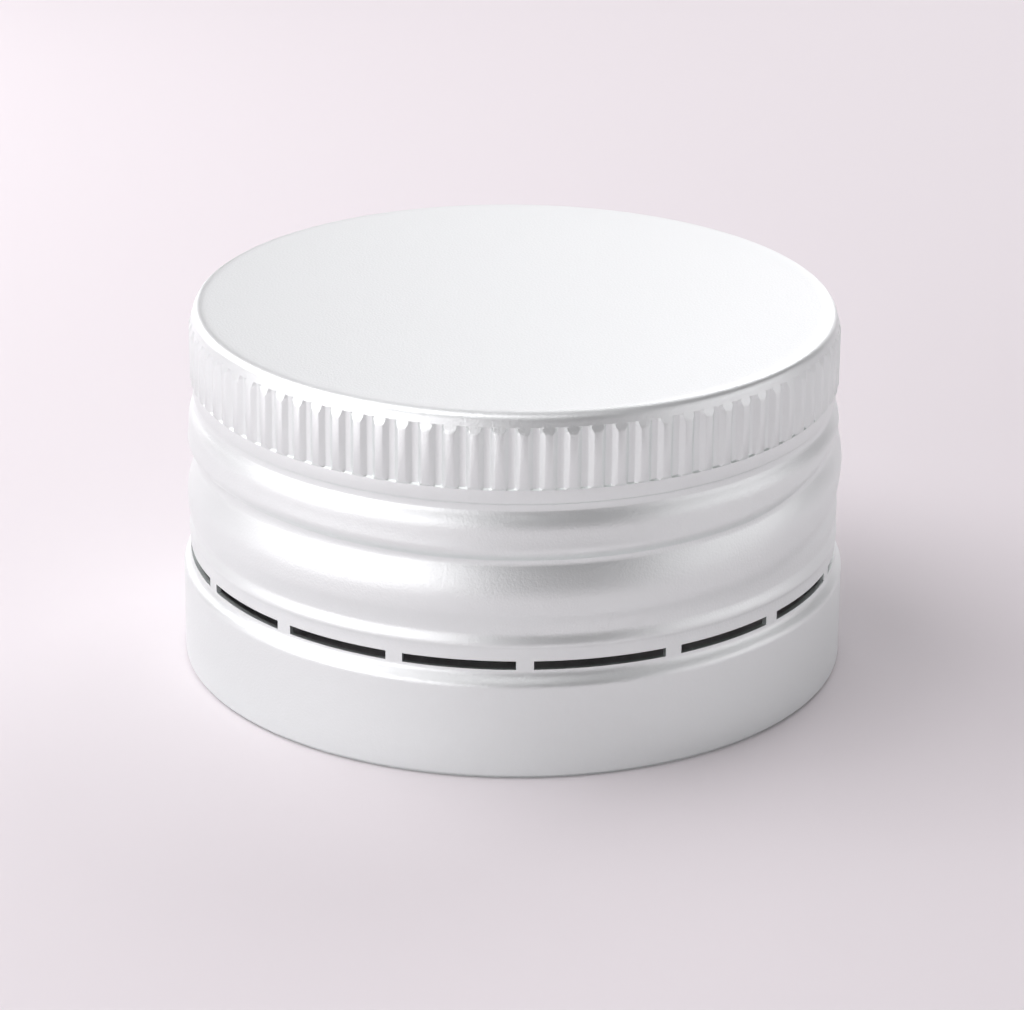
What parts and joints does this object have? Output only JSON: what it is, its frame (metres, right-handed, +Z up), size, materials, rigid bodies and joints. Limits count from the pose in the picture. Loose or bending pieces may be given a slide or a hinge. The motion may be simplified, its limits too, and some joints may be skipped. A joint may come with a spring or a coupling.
{
  "type": "roll-on bottle cap",
  "caption": "Aluminium screw cap with a knurled grip, a rolled thread groove, a slotted line and a tamper band, with a soft liner.",
  "frame": {"origin": "centre of the rim's lower edge, on the surface that the cap stands on", "axes": "+Z up along the cap's axis, towards the top panel; -Y is the side that the camera sees"},
  "size_m": [0.0316, 0.0316, 0.0173],
  "materials": {
    "aluminium_shell": "satin, clear lacquered",
    "liner_foam": "soft matte foam"
  },
  "bodies": {
    "root": {"shell": "aluminium_shell", "liner": "liner_foam"}
  },
  "joints": []
}
